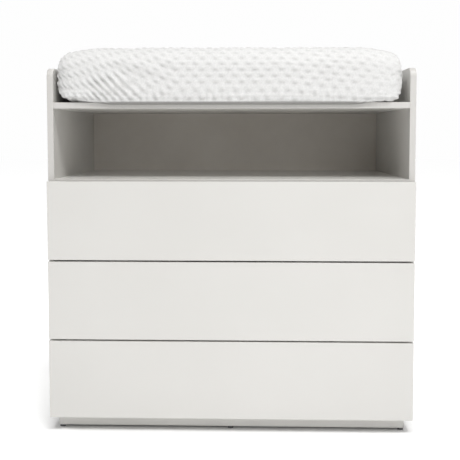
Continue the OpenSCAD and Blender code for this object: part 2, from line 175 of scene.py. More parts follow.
def make_studio():
    """A dim white fill all round, behind which the sweep runs up into plain white."""
    world = bpy.data.worlds.new("studio")
    world.use_nodes = True
    tree = world.node_tree
    background = tree.nodes["Background"]
    background.inputs["Color"].default_value = (1, 1, 1, 1)
    seen = add(tree, "ShaderNodeLightPath").outputs["Is Camera Ray"]
    level = add(tree, "ShaderNodeMapRange", Value=seen, To_Min=FILL, To_Max=STUDIO_WHITE)
    tree.links.new(level.outputs[0], background.inputs["Strength"])
    return world


floor_mesh = bpy.data.meshes.new("floor")
half = FLOOR_SIZE / 2
floor_mesh.from_pydata([(-half, -half, 0), (half, -half, 0), (half, half, 0), (-half, half, 0)], [], [(0, 1, 2, 3)])
floor_mesh.materials.append(make_sweep())
floor = bpy.data.objects.new("floor", floor_mesh)
bpy.context.scene.collection.objects.link(floor)
bpy.context.scene.world = make_studio()
bpy.context.scene.view_settings.view_transform = "Standard"

area_light("key", (0.9, -3.0, 1.6), (0, 0, 0.45), (1.4, 1.4), 15)
area_light("top", (0.8, -2.7, 4.7), (0, 0, 0.4), (3.4, 1.4), 190)
area_light("overhead", (0, -0.15, 2.7), (0, -0.15, 0.9), (1.3, 0.8), 5)
area_light("left_side", (-2.4, 0.25, 1.6), (-0.5, 0, 0.1), (1.0, 1.0), 14)
area_light("right_side", (2.4, 0.25, 1.6), (0.5, 0, 0.1), (1.0, 1.0), 8)

# %% [markdown]
# ## A way to write materials
# Every finish below is a small graph of nodes on one Principled shader. Three
# helpers keep them readable: one starts a material, one adds a node and fills
# or links its sockets, and one turns a height into a bump.

# %% Material helpers
MATERIALS = {}


def start_material(name, roughness, metallic=0.0, **sockets):
    material = bpy.data.materials.new(name)
    material.use_nodes = True
    shader = material.node_tree.nodes["Principled BSDF"]
    shader.inputs["Roughness"].default_value = roughness
    shader.inputs["Metallic"].default_value = metallic
    for socket, value in sockets.items():
        shader.inputs[socket.replace("_", " ")].default_value = value
    MATERIALS[name] = material
    return material.node_tree, shader


def object_point(tree, stretch=(1, 1, 1)):
    coords = add(tree, "ShaderNodeTexCoord")
    return add(tree, "ShaderNodeMapping", Vector=coords.outputs["Object"], Scale=stretch).outputs[0]


def noise(tree, point, scale, detail=2.0, roughness=0.5):
    return add(tree, "ShaderNodeTexNoise", Vector=point, Scale=scale, Detail=detail,
               Roughness=roughness).outputs["Fac"]


def spread(tree, value, low, high, source=(0.3, 0.7)):
    return add(tree, "ShaderNodeMapRange", Value=value, From_Min=source[0], From_Max=source[1],
               To_Min=low, To_Max=high).outputs[0]


def blend_colours(tree, factor, first, second):
    node = add(tree, "ShaderNodeMix", {"data_type": "RGBA"}, input0=factor, input6=(*first, 1), input7=(*second, 1))
    return node.outputs[2]


def bump(tree, shader, height, depth, strength=1.0):
    node = add(tree, "ShaderNodeBump", Height=height, Distance=depth, Strength=strength)
    tree.links.new(node.outputs[0], shader.inputs["Normal"])


# %% [markdown]
# ## Lacquer and melamine
# Sprayed lacquer on board is never quite even: the sheen drifts over a hand's
# breadth, and a fine orange peel breaks up reflections. Drawer boxes are cut
# from melamine-faced board, which is duller and has a faint printed speckle.
# The narrow front edges of the carcass are closed with an edge band, a touch
# darker than the lacquer, and the thin back board is warmer and cloudier.

# %% Lacquer and melamine
WHITE = (0.74, 0.728, 0.70)
WHITE_DEEP = (0.71, 0.698, 0.668)


def make_lacquer():
    tree, shader = start_material("white_lacquer", 0.36, Coat_Weight=0.2, Coat_Roughness=0.18)
    point = object_point(tree)
    drift = noise(tree, point, 2.6, 3)
    tree.links.new(blend_colours(tree, spread(tree, drift, 0, 1), WHITE_DEEP, WHITE), shader.inputs["Base Color"])
    tree.links.new(spread(tree, noise(tree, point, 11, 4), 0.30, 0.42), shader.inputs["Roughness"])
    bump(tree, shader, noise(tree, point, 620, 2), 0.00003, 0.5)


def make_melamine():
    tree, shader = start_material("white_melamine", 0.5)
    point = object_point(tree)
    speckle = spread(tree, noise(tree, point, 900, 1), 0, 1, (0.35, 0.62))
    tree.links.new(blend_colours(tree, speckle, (0.70, 0.69, 0.66), (0.76, 0.75, 0.72)), shader.inputs["Base Color"])
    bump(tree, shader, noise(tree, point, 1400, 1), 0.00002, 0.6)


def make_edge_band():
    tree, shader = start_material("edge_band", 0.45)
    streak = noise(tree, object_point(tree, (1, 1, 0.05)), 300, 3)
    tree.links.new(blend_colours(tree, streak, (0.60, 0.585, 0.56), (0.65, 0.635, 0.61)), shader.inputs["Base Color"])
    bump(tree, shader, streak, 0.00002, 0.5)


def make_back_board():
    tree, shader = start_material("back_board", 0.5)
    point = object_point(tree)
    cloud = spread(tree, noise(tree, point, 5, 4, 0.6), 0, 1)
    tree.links.new(blend_colours(tree, cloud, (0.66, 0.615, 0.555), (0.74, 0.70, 0.64)), shader.inputs["Base Color"])
    bump(tree, shader, noise(tree, point, 800, 2), 0.00003, 0.6)


make_lacquer()
make_melamine()
make_edge_band()
make_back_board()
print("board finishes:", sorted(MATERIALS))

# %% [markdown]
# ## Metal, plastic, beech and foam
# Zinc plate on rolled steel has streaks along the rolling direction, which is
# the length of each runner. Moulded plastic has a fine even grain. Beech is
# pale with short dark flecks, and cut foam is a field of small open cells.

# %% Metal, plastic, beech and foam


def make_zinc():
    tree, shader = start_material("zinc_steel", 0.34, 1.0)
    streaks = noise(tree, object_point(tree, (1, 0.06, 1)), 500, 3)
    clouds = noise(tree, object_point(tree), 60, 4)
    tree.links.new(blend_colours(tree, clouds, (0.56, 0.57, 0.60), (0.74, 0.74, 0.75)), shader.inputs["Base Color"])
    tree.links.new(spread(tree, streaks, 0.24, 0.46), shader.inputs["Roughness"])
    bump(tree, shader, streaks, 0.00002, 0.6)


def make_plastic(name, dark, light):
    tree, shader = start_material(name, 0.48)
    point = object_point(tree)
    tree.links.new(blend_colours(tree, noise(tree, point, 40, 2), dark, light), shader.inputs["Base Color"])
    bump(tree, shader, noise(tree, point, 2600, 1), 0.00003, 0.7)


def make_beech():
    tree, shader = start_material("beech", 0.6)
    grain = noise(tree, object_point(tree, (0.15, 1, 1)), 260, 4, 0.65)
    tree.links.new(blend_colours(tree, spread(tree, grain, 0, 1), (0.42, 0.26, 0.14), (0.66, 0.47, 0.28)),
                   shader.inputs["Base Color"])
    bump(tree, shader, grain, 0.00005, 0.6)


def make_foam():
    tree, shader = start_material("foam", 0.95)
    cells = add(tree, "ShaderNodeTexVoronoi", Vector=object_point(tree), Scale=700).outputs["Distance"]
    # painted shade: each cell is darker in its hollow, where the bump is lowest
    tree.links.new(blend_colours(tree, spread(tree, cells, 0, 1, (0, 0.6)), (0.55, 0.50, 0.36), (0.86, 0.83, 0.70)),
                   shader.inputs["Base Color"])
    bump(tree, shader, cells, 0.0006, 0.8)


make_zinc()
make_plastic("grey_plastic", (0.09, 0.09, 0.095), (0.13, 0.13, 0.135))
make_plastic("white_plastic", (0.72, 0.72, 0.71), (0.78, 0.78, 0.77))
make_beech()
make_foam()
print("finishes so far:", sorted(MATERIALS))

# %% [markdown]
# ## Dress the CAD pieces
# Each node names a material slot in the imported record, so one loop gives every
# CAD piece whose slot already has a finish by that name its finish; the others
# stay as they are here. It could be done piece by piece, but a new node would
# then stay bare until someone noticed.

# %% Dress the CAD pieces
SLOT_OF = {row["node"]: row["material_slot"] for row in frame["record"]["subparts"]}


def dress(piece, material_name):
    piece.data.materials.clear()
    piece.data.materials.append(MATERIALS[material_name])


for node, piece in frame["nodes"].items():
    slot = SLOT_OF[node]
    if slot in MATERIALS:
        dress(piece, slot)
print("dressed:", sum(slot in MATERIALS for slot in SLOT_OF.values()), "of", len(SLOT_OF), "nodes")

# %% [markdown]
# ## Eased edges
# A lacquered board has no knife edge: its corners are sanded to a radius of
# about a millimetre, and that thin bright line is what makes it look real. The
# CAD mesh is loose triangles, so a copy is merged and its flat faces are
# joined, and then only the board's outer edges are bevelled. Edges of drilled
# holes lie inside the outline and stay sharp.

# %% Eased edges
EASE = 0.0011
NEAR = 0.0004             # an edge this close to the board's box lies on it
SHARP = math.radians(40)
PANEL_CORNER = 0.023      # the side panels' rounded upper corners
BAND_DEPTH = 0.03         # how far back the edge band runs round a corner


def copy_mesh(node, name):
    piece = bpy.data.objects.new(name, frame["nodes"][node].data.copy())
    bpy.context.scene.collection.objects.link(piece)
    return piece


def outer_edges(mesh, low, high, corner):
    """Sharp edges that lie on the board's box, or on its rounded upper corners."""
    chosen = []
    for edge in mesh.edges:
        if len(edge.link_faces) != 2 or edge.calc_face_angle(0) < SHARP:
            continue
        middle = (edge.verts[0].co + edge.verts[1].co) / 2
        on_box = sum(min(abs(middle[i] - low[i]), abs(middle[i] - high[i])) < NEAR for i in range(3))
        on_corner = corner and middle.z > high.z - corner and min(middle.y - low.y, high.y - middle.y) < corner
        if on_box >= 2 or on_corner:
            chosen.append(edge)
    return chosen


def ease_board(node, width=EASE, corner=0.0):
    piece = copy_mesh(node, node + "_eased")
    low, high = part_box(node)
    mesh = bmesh.new()
    mesh.from_mesh(piece.data)
    bmesh.ops.remove_doubles(mesh, verts=mesh.verts, dist=0.00002)
    bmesh.ops.dissolve_limit(mesh, angle_limit=math.radians(0.5), verts=mesh.verts, edges=mesh.edges)
    bmesh.ops.bevel(mesh, geom=outer_edges(mesh, low, high, corner), offset=width, segments=3,
                    profile=0.5, affect="EDGES", clamp_overlap=True)
    bmesh.ops.triangulate(mesh, faces=[f for f in mesh.faces if len(f.verts) > 4])
    mesh.to_mesh(piece.data)
    mesh.free()
    for face in piece.data.polygons:
        face.use_smooth = max(abs(part) for part in face.normal) < 0.999
    slot = SLOT_OF[node]
    dress(piece, slot)
    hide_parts(node)
    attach(piece, frame["nodes"][node]["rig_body"])
    return piece


BANDED = ("side_panel_left", "side_panel_right", "pad_shelf", "deck_panel", "bottom_panel")


def band_front_edge(piece):
    """Give the board's narrow front face, and its rounded rim, the edge band."""
    piece.data.materials.append(MATERIALS["edge_band"])
    front = min(v.co.y for v in piece.data.vertices)
    for face in piece.data.polygons:
        if face.normal.y < -0.5 and face.center.y < front + BAND_DEPTH:
            face.material_index = 1


LACQUERED = [node for node, slot in SLOT_OF.items() if slot == "white_lacquer"]
for node in LACQUERED:
    board = ease_board(node, corner=PANEL_CORNER if node.startswith("side_panel") else 0.0)
    if node in BANDED:
        band_front_edge(board)
    if node == "back_panel":
        dress(board, "back_board")
print("eased boards:", len(LACQUERED))

# %% [markdown]
# ## Runner balls
# A full-extension runner rolls on steel balls: one row between the cabinet's
# section and the middle one, and one between the middle section and the
# drawer's. Both sit in thin pressed cages. They are all alike and stand in
# rows, so Geometry Nodes place one ball on a row of points, and the cage is a
# strip swept along the same row.

# %% Runner balls
BALL_RADIUS = 0.0020
BALL_STEP = 0.0115
RUNNER_HALF_GAPS = {"outer": 0.01915, "inner": 0.01365}
ROW_DEPTHS = {"outer": 0.0062, "inner": 0.0080}
ROW_STRETCHES = {"outer": (0.00, 0.16), "inner": (-0.215, -0.045)}
BOX_FACES = ((0, 2, 3, 1), (4, 5, 7, 6), (0, 1, 5, 4), (2, 6, 7, 3), (0, 4, 6, 2), (1, 3, 7, 5))


def node_tree(name, inputs):
    tree = bpy.data.node_groups.new(name, "GeometryNodeTree")
    tree.interface.new_socket("Geometry", in_out="INPUT", socket_type="NodeSocketGeometry")
    for label, kind in inputs:
        tree.interface.new_socket(label, in_out="INPUT", socket_type=kind)
    tree.interface.new_socket("Geometry", in_out="OUTPUT", socket_type="NodeSocketGeometry")
    return tree, tree.nodes.new("NodeGroupInput"), tree.nodes.new("NodeGroupOutput")


def finish_tree(tree, geometry, material, result):
    real = add(tree, "GeometryNodeRealizeInstances", input0=geometry)
    dressed = add(tree, "GeometryNodeSetMaterial", Geometry=real.outputs[0], Material=material)
    tree.links.new(dressed.outputs[0], result.inputs[0])
    return tree


def bake(piece):
    """Turn a piece's modifiers into its plain mesh."""
    graph = bpy.context.evaluated_depsgraph_get()
    mesh = bpy.data.meshes.new_from_object(piece.evaluated_get(graph), preserve_all_data_layers=True,
                                           depsgraph=graph)
    old = piece.data
    piece.modifiers.clear()
    piece.data = mesh
    bpy.data.meshes.remove(old)
    return piece


def run_nodes(piece, tree, **values):
    modifier = piece.modifiers.new("nodes", "NODES")
    modifier.node_group = tree
    sockets = {s.name: s.identifier for s in tree.interface.items_tree
               if s.item_type == "SOCKET" and s.in_out == "INPUT"}
    for name, value in values.items():
        modifier[sockets[name.replace("_", " ")]] = value
    return bake(piece)


def balls_tree():
    tree, given, result = node_tree("balls", [("Radius", "NodeSocketFloat"), ("Steel", "NodeSocketMaterial")])
    ball = add(tree, "GeometryNodeMeshUVSphere", Segments=10, Rings=6, Radius=given.outputs["Radius"])
    rounded = add(tree, "GeometryNodeSetShadeSmooth", Geometry=ball.outputs[0])
    placed = add(tree, "GeometryNodeInstanceOnPoints", Points=given.outputs["Geometry"], Instance=rounded.outputs[0])
    return finish_tree(tree, placed.outputs[0], given.outputs["Steel"], result)


BALLS = balls_tree()


def mesh_piece(name, points, faces):
    mesh = bpy.data.meshes.new(name)
    mesh.from_pydata(points.tolist(), [], faces)
    mesh.update()
    mesh.shade_smooth()
    piece = bpy.data.objects.new(name, mesh)
    bpy.context.scene.collection.objects.link(piece)
    return piece


def ball_rows(level):
    """Row positions (x, z) and stretches in y of one level's balls, at both sides, above and below."""
    low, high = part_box("cabinet_runners_" + level)
    middle = (low.z + high.z) / 2
    rows = []
    for kind, half_gap in RUNNER_HALF_GAPS.items():
        for side in (-1, 1):
            for up in (-1, 1):
                rows.append((side * (high.x - ROW_DEPTHS[kind]), middle + up * half_gap, ROW_STRETCHES[kind]))
    return rows


def cage_strip(x, z, stretch, half_width=0.0032, thickness=0.0004, past=0.004):
    """The 8 corners of the pressed strip that holds one row's balls."""
    y = (stretch[0] - past, stretch[1] + past)
    return [(x + dx, b, z + dz) for b in y for dx in (-half_width, half_width) for dz in (-thickness, thickness)]


for level in LEVELS:
    points, strips, faces = [], [], []
    for x, z, stretch in ball_rows(level):
        points += [(x, y, z) for y in np.arange(stretch[0], stretch[1], BALL_STEP)]
        k = len(strips)
        strips += cage_strip(x, z, stretch)
        faces += [tuple(k + i for i in face) for face in BOX_FACES]
    balls = mesh_piece("runner_balls_" + level, np.array(points), [])
    run_nodes(balls, BALLS, Radius=BALL_RADIUS, Steel=MATERIALS["zinc_steel"])
    cages = mesh_piece("ball_cages_" + level, np.array(strips), faces)
    cages.data.shade_flat()
    dress(cages, "zinc_steel")
    for piece in (balls, cages):
        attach(piece, "runner_stage_" + level)
print("balls in a level:", len(points), "faces:", len(balls.data.polygons))

# %% [markdown]
# ## Plush
# Dotted plush is a short, dense pile: it has no shine of its own, but its fibre
# tips catch light at grazing angles, which sheen stands for, and the pile parts
# in a fine random mottle. The cloth also carries a value that paints shade into
# its colour: the crease under each dot, the folds' valleys and the lip that hangs
# over the shelf are darkened as if in shadow.

# %% Plush and elastic
# painted shade: the dark tone that the plush is blended towards where it stands in shadow
PAINTED_SHADE_TONE = (0.20, 0.195, 0.18, 1)


def make_plush():
    tree, shader = start_material("dotted_plush", 0.95, Sheen_Weight=0.25, Sheen_Roughness=0.45)
    point = object_point(tree)
    pile = noise(tree, point, 1500, 3, 0.7)
    mottle = noise(tree, point, 240, 3, 0.6)
    tone = spread(tree, mottle, 0, 1)
    pile_colour = blend_colours(tree, tone, (0.69, 0.687, 0.677), (0.79, 0.787, 0.777))
    # painted shade: the cloth's value that darkens it under the dots, in the folds and on the lip
    painted_shade = add(tree, "ShaderNodeAttribute", {"attribute_name": "painted_shade"}).outputs["Fac"]
    shaded = add(tree, "ShaderNodeMix", {"data_type": "RGBA"}, input0=painted_shade, input6=pile_colour, input7=PAINTED_SHADE_TONE)
    tree.links.new(shaded.outputs[2], shader.inputs["Base Color"])
    both = add(tree, "ShaderNodeMath", {"operation": "MULTIPLY_ADD"}, input0=mottle, input1=0.9, input2=pile)
    bump(tree, shader, both.outputs[0], 0.0006, 0.55)


def make_elastic():
    tree, shader = start_material("elastic", 0.8)
    ribs = add(tree, "ShaderNodeTexWave", Vector=object_point(tree), Scale=260, Distortion=0.4).outputs["Fac"]
    # painted shade: the grooves between the ribs, where the bump is lowest, are darker
    tree.links.new(blend_colours(tree, ribs, (0.62, 0.62, 0.61), (0.78, 0.78, 0.77)), shader.inputs["Base Color"])
    bump(tree, shader, ribs, 0.0005, 0.7)


make_plush()
make_elastic()
print("finishes:", len(MATERIALS))

# %% [markdown]
# ## The pad: its form
# A contour pad is a block of foam with raised long sides and a valley between
# them, in a stretchy cover. It could be carved from a box, but the cover's
# pattern has to run over the crests and round the ends, so the form is swept:
# one closed cross-section is drawn from arcs, and rings of it run along the
# pad, shrinking round the ends. Each point also remembers its place on the
# cloth, as metres along the pad and metres across it.

# %% The pad's cross-section
PAD_LOW, PAD_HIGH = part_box("pad_cover")
PAD_MIDDLE = (PAD_LOW + PAD_HIGH) / 2
PAD_LENGTH, PAD_DEPTH, PAD_HEIGHT = PAD_HIGH - PAD_LOW
VALLEY = 0.055
CREST_GAP = 0.32
CREST_RADIUS = 0.046
FOOT_RADIUS = 0.014
END_RADIUS = 0.034
RING_POINTS = 208
RING_STEP = 0.0054
CAP_RINGS = 14            # rings that shrink to a point over each end
CAP_HEIGHT = 0.3          # and the point's height, as a share of the pad's
CAP_REACH = 0.12          # the cloth's length over an end, in metres


def arc(centre, radius, start, end, steps=16):
    turns = np.radians(np.linspace(start, end, steps))
    return np.column_stack((centre[0] + radius * np.cos(turns), centre[1] + radius * np.sin(turns)))


def half_section(inset):
    """Outline in (y, z), from the middle of the foot round the front to the middle of the valley."""
    half = PAD_DEPTH / 2 - inset
    foot = max(FOOT_RADIUS - inset / 2, 0.006)
    crest = max(CREST_RADIUS - inset, 0.012)
    top = PAD_HEIGHT - inset
    dip = (CREST_GAP ** 2 / 4 + VALLEY ** 2) / (2 * VALLEY)
    reach = math.degrees(math.asin((CREST_GAP / 2 - 0.012) / dip))
    return np.concatenate((np.array([[0.0, inset]]),
                           arc((-half + foot, inset + foot), foot, 270, 180),
                           arc((-half + crest, top - crest), crest, 180, 90),
                           arc((0, PAD_HEIGHT - VALLEY + dip), dip + inset, 270 - reach, 270)))


def ring(inset):
    """A closed ring of evenly spaced points in (y, z), and the length of half of it, from the foot's middle round to
    the valley's middle.
    """
    points = half_section(inset)
    way = np.concatenate(([0], np.cumsum(np.linalg.norm(np.diff(points, axis=0), axis=1))))
    spots = np.linspace(0, way[-1], RING_POINTS // 2 + 1)
    half = np.column_stack([np.interp(spots, way, points[:, i]) for i in range(2)])
    return np.concatenate((half, half[-2:0:-1] * (-1, 1))), way[-1]


print("round the pad:", round(2 * ring(0)[1], 3), "m")

# %% [markdown]
# ## The pad: rings along it
# The rings stand square to the length until the end's radius begins. From
# there each is drawn inwards and moved along by the same quarter circle, and
# the flat of the end is filled by rings that shrink to a point.

# %% Rings along the pad


def ring_places(length, skin):
    """One (x, inset, shrink, way along) for each ring of the right half, from the middle outwards."""
    straight = length / 2 - END_RADIUS
    places = [(x, skin, 0, x) for x in np.linspace(0, straight, round(straight / RING_STEP))]
    for turn in np.radians(np.arange(10, 91, 10)):
        places.append((straight + END_RADIUS * math.sin(turn), skin + END_RADIUS * (1 - math.cos(turn)), 0,
                       straight + END_RADIUS * turn))
    for shrink in np.linspace(0, 1, CAP_RINGS + 1)[1:]:
        last = places[-1]
        places.append((last[0], last[1], shrink, straight + END_RADIUS * math.pi / 2 + CAP_REACH * shrink))
    return places


def pad_form(skin):
    """Points, faces and cloth places (along, across) of the pad, drawn in by skin all round."""
    right = ring_places(PAD_LENGTH - 2 * skin, skin)
    left = [(-x, inset, shrink, -along) for x, inset, shrink, along in right[:0:-1]]
    points, cloth = [], []
    full_way = ring(0)[1]
    across = np.abs(np.linspace(1, -1, RING_POINTS, endpoint=False)) * full_way
    across[RING_POINTS // 2:] *= -1
    rings = left[1:] + right[:-1]
    for x, inset, shrink, along in rings:
        loop = ring(inset)[0]
        loop = loop + shrink * (np.array((0, CAP_HEIGHT * PAD_HEIGHT)) - loop)
        points.append(np.column_stack((np.full(RING_POINTS, x), loop)))
        cloth.append(np.column_stack((np.full(RING_POINTS, along), across)))
    base = np.arange(RING_POINTS)
    turned = np.roll(base, -1)
    faces = []
    for k in range(len(rings) - 1):
        near, far = k * RING_POINTS, (k + 1) * RING_POINTS
        faces.extend(np.column_stack((near + base, far + base, far + turned, near + turned)).tolist())
    count = len(rings) * RING_POINTS
    last = count - RING_POINTS
    tip = CAP_HEIGHT * PAD_HEIGHT
    points.append(np.array([[left[0][0], 0, tip], [right[-1][0], 0, tip]]))
    cloth.append(np.array([[left[0][3], 0], [right[-1][3], 0]]))
    faces += [(int(a), int(b), count) for a, b in zip(base, turned)]
    faces += [(last + int(b), last + int(a), count + 1) for a, b in zip(base, turned)]
    return np.concatenate(points), faces, np.concatenate(cloth)


def smooth_step(value, start, end):
    t = np.clip((value - start) / (end - start), 0, 1)
    return t * t * (3 - 2 * t)


CREST_RISE = 0.004        # how much fuller than the bare foam the crests stand
END_DROP = 0.013          # how far the crests fall towards the ends
LEFT_LIFT = 0.009         # how far the pull lifts the left end's foot
END_SLANT = 0.005
LIP_DROP = 0.017          # how far the front foot is pulled down over the shelf's edge


def shape_pad(points):
    """Lower the crests towards the ends, slant the ends and let the front foot hang over the shelf's edge."""
    x, y, z = points.T.copy()
    up = smooth_step(z, 0.35 * PAD_HEIGHT, 0.8 * PAD_HEIGHT)
    half = PAD_LENGTH / 2
    z = z + up * (CREST_RISE - END_DROP * smooth_step(np.abs(x), half - 0.115, half))
    z = z + LEFT_LIFT * smooth_step(-x, half - 0.085, half - 0.005) * (1 - smooth_step(z, 0, 0.07))
    x = x - END_SLANT * np.sign(x) * smooth_step(np.abs(x), half - 0.05, half) * smooth_step(-z, -0.055, 0)
    over = smooth_step(-y, PAD_DEPTH / 2 - 0.0105, PAD_DEPTH / 2 - 0.004)
    middle = 1 - smooth_step(np.abs(x - 0.01), 0.29, 0.39)
    z = z - LIP_DROP * over * middle * (1 - smooth_step(z, 0.004, 0.05))
    place = np.array((PAD_MIDDLE.x, PAD_MIDDLE.y, PAD_LOW.z))
    return np.column_stack((x, y, z)) + place


HEM_REACH = 0.062
HEM_TUCK = 0.005


def hem_ring(x, y):
    """How far a point of the underside lies inside the opening that the hem runs round."""
    return np.minimum(PAD_LENGTH / 2 - HEM_REACH - np.abs(x), PAD_DEPTH / 2 - HEM_REACH - np.abs(y))


def tuck_hem(form):
    """Draw the middle of the underside up into the foam, which leaves the hem as a rim around it."""
    x, y, z = form.T
    tucked = smooth_step(hem_ring(x, y), 0, 0.006) * (1 - smooth_step(z, 0.008, 0.012))
    return np.column_stack((x, y, z + HEM_TUCK * tucked))


def volume(piece):
    """Positive when the faces point outwards."""
    measure = bmesh.new()
    measure.from_mesh(piece.data)
    litres = measure.calc_volume(signed=True)
    measure.free()
    return litres


SWELL_ROOM = 0.002
form, pad_faces, cloth_places = pad_form(SWELL_ROOM)
form = tuck_hem(form)
pad_cover = mesh_piece("pad_cover_sewn", shape_pad(form), pad_faces)
for name, column in (("along", 0), ("across", 1)):
    attribute = pad_cover.data.attributes.new(name, "FLOAT", "POINT")
    attribute.data.foreach_set("value", cloth_places[:, column].astype(np.float32))
print("pad rings:", len(form) // RING_POINTS, "points:", len(form),
      "encloses", round(1000 * volume(pad_cover), 1), "litres")

# %% [markdown]
# ## The pad: stuffed by simulation
# A sewn cover takes its final form from the foam that pushes it out. Moving
# points by hand would leave it looking moulded, so cloth is simulated: a slight
# pressure inside stands for the foam, the underside is pinned where it lies on
# the shelf, and no point may move further than the foam would let it: a few
# millimetres outwards, and hardly any inwards.

# %% Stuff the pad
PRESSURE = 4.0
FRAMES = 20
PINNED = 0.004       # what lies lower than this is held by the shelf
SWELL_CAP = 0.004    # the cloth may leave the foam by this much
PRESS_CAP = 0.001    # and may press into it by this much


def pin_underside(piece, level):
    group = piece.vertex_groups.new(name="lying")
    lying = [v.index for v in piece.data.vertices if v.co.z < level]
    group.add(lying, 1.0, "REPLACE")
    return group


def stuff(piece, pressure, frames, level):
    rest = vertex_places(piece.data)
    cloth = piece.modifiers.new("cloth", "CLOTH")
    cloth.settings.quality = 4
    cloth.settings.mass = 0.25
    cloth.settings.tension_stiffness = 12
    cloth.settings.compression_stiffness = 8
    cloth.settings.bending_stiffness = 0.4
    cloth.settings.shrink_min = -0.012
    cloth.settings.use_pressure = True
    cloth.settings.uniform_pressure_force = pressure
    cloth.settings.vertex_group_mass = pin_underside(piece, level).name
    cloth.settings.effector_weights.gravity = 0
    cloth.point_cache.frame_start = 1
    cloth.point_cache.frame_end = frames
    scene = bpy.context.scene
    for frame_number in range(1, frames + 1):
        scene.frame_set(frame_number)
    moved = vertex_places(piece.evaluated_get(bpy.context.evaluated_depsgraph_get()).data)
    piece.modifiers.remove(cloth)
    scene.frame_set(1)
    step = moved - rest
    size = np.linalg.norm(step, axis=1, keepdims=True)
    outward = np.sum(step * normals_of(piece.data), axis=1, keepdims=True)
    cap = np.where(outward > 0, SWELL_CAP, PRESS_CAP)
    step *= np.minimum(1, cap / np.maximum(size, 1e-9))
    piece.data.vertices.foreach_set("co", (rest + step).astype(np.float32).ravel())
    piece.data.update()
    print("stuffing moved the cloth by", round(float(size.mean()) * 1000, 2), "mm on average, at most",
          round(float(size.max()) * 1000, 1))


def normals_of(mesh):
    values = np.empty(len(mesh.vertices) * 3, np.float32)
    mesh.vertex_normals.foreach_get("vector", values)
    return values.reshape(-1, 3).astype(float)


def vertex_places(mesh):
    places = np.empty(len(mesh.vertices) * 3, np.float32)
    mesh.vertices.foreach_get("co", places)
    return places.reshape(-1, 3).astype(float)


stuff(pad_cover, PRESSURE, FRAMES, PAD_LOW.z + PINNED)

# %% [markdown]
# ## The pad: finer cloth
# One subdivision rounds the form and gives enough points for the raised dots,
# which are 12 mm wide and need a point every 2 to 3 mm.

# %% Finer cloth


def subdivide(piece, levels=1):
    modifier = piece.modifiers.new("finer", "SUBSURF")
    modifier.levels = modifier.render_levels = levels
    return bake(piece)


subdivide(pad_cover)
print("points on the pad:", len(pad_cover.data.vertices))

# %% [markdown]
# ## The pad: pulls and gathers
# A cover that is pulled on by hand never sits straight. At the left front
# corner it is drawn down and under, so folds fan out from there, and its rows
# of dots run downhill until they reach the middle. All along the foot the cloth
# is gathered by the elastic underneath. Folds like these are long ripples, and
# each is a sine across its direction, faded in and out over its own stretch.
# They could be sculpted, but as sines they stay easy to move and to weaken.

# %% Pulls and gathers
# Height of each kind of fold, and the distance from one to the next, in metres.
FOLDS = {"pull": (0.0023, 0.0142), "drape": (0.0016, 0.034), "foot": (0.0015, 0.011),
         "gather": (0.0009, 0.019), "end": (0.0004, 0.013), "left_end": (0.0008, 0.009)}
PULL_SLOPE = 0.72      # radians below level, towards the right
DRAPE_SLOPE = 0.33
UNEVEN = 0.0007        # slow unevenness all over
CLOTH = {}


def read_cloth(mesh):
    for name in ("along", "across"):
        values = np.empty(len(mesh.vertices), np.float32)
        mesh.attributes[name].data.foreach_get("value", values)
        CLOTH[name] = values.astype(float)


def window(value, start, full, full_end, end):
    return smooth_step(value, start, full) * (1 - smooth_step(value, full_end, end))


def wander(a, b, seed, scale):
    """Slow, seeded drift between -1 and 1 over the cloth."""
    picks = np.random.default_rng(seed).uniform(-1, 1, (6, 4))
    total = sum(np.sin(scale * (1 + abs(k[0])) * (a * math.cos(3.1 * k[1]) + b * math.sin(3.1 * k[1])) + 6 * k[2])
                for k in picks)
    return total / 3.2


def ripples(kind, way, phase):
    height, length = FOLDS[kind]
    return height * np.sin(way * 2 * math.pi / length + phase)


def folds(places):
    """Height of the pulled and gathered folds over the plain form, in metres."""
    x, y, z = places.T
    local = x - PAD_MIDDLE.x
    height = z - PAD_LOW.z
    front = smooth_step(-(y - PAD_MIDDLE.y), 0.10, 0.17)
    left = local + PAD_LENGTH / 2
    down = height / PAD_HEIGHT
    drift = wander(x, z, 3, 18)
    fan = left * math.sin(PULL_SLOPE) + height * math.cos(PULL_SLOPE) + 0.006 * drift
    pulled = window(left, 0.065, 0.105, 0.165, 0.235) * window(down, -0.02, 0.08, 0.36, 0.62)
    total = pulled * front * ripples("pull", fan, 2.4 * drift) * (1 + 0.5 * drift)
    drape = left * math.sin(DRAPE_SLOPE) + height * math.cos(DRAPE_SLOPE) + 0.01 * drift
    high = window(left, 0.10, 0.16, 0.24, 0.34) * window(down, 0.34, 0.48, 0.72, 0.88)
    total += high * front * ripples("drape", drape, drift)
    foot = window(down, -0.1, 0.02, 0.10, 0.26) * front
    total += foot * ripples("foot", height, 2 * wander(x, z, 8, 9))
    total += foot * ripples("gather", x, 5 * wander(x, z, 5, 14))
    ends = smooth_step(np.abs(local), PAD_LENGTH / 2 - 0.055, PAD_LENGTH / 2 - 0.015)
    ends = ends * window(down, -0.1, 0.1, 0.7, 0.95)
    total += ends * ripples("end", x + 0.35 * z, 3 * wander(y, z, 6, 22))
    gathered = (1 - smooth_step(left, 0.02, 0.07)) * smooth_step(height, 0.01, 0.04)
    total += gathered * ripples("left_end", x + 0.6 * z, 4 * wander(y, z, 7, 60))
    total += UNEVEN * wander(x, y + z, 11, 22) * smooth_step(height, 0.01, 0.04)
    return total


def row_shift(along):
    """How far the rows of dots are dragged from level, by the pull at the left and a slighter one at the right."""
    left = np.clip(-0.13 - along, 0, None)
    right = np.clip(along - 0.14, 0, None)
    return 0.085 * right - 0.29 * left - 0.9 * left ** 2


def under_flat(places):
    """1 where the pad lies on the shelf, so that nothing there is moved."""
    return 1 - smooth_step(places[:, 2] - PAD_LOW.z, 0.0005, 0.004)


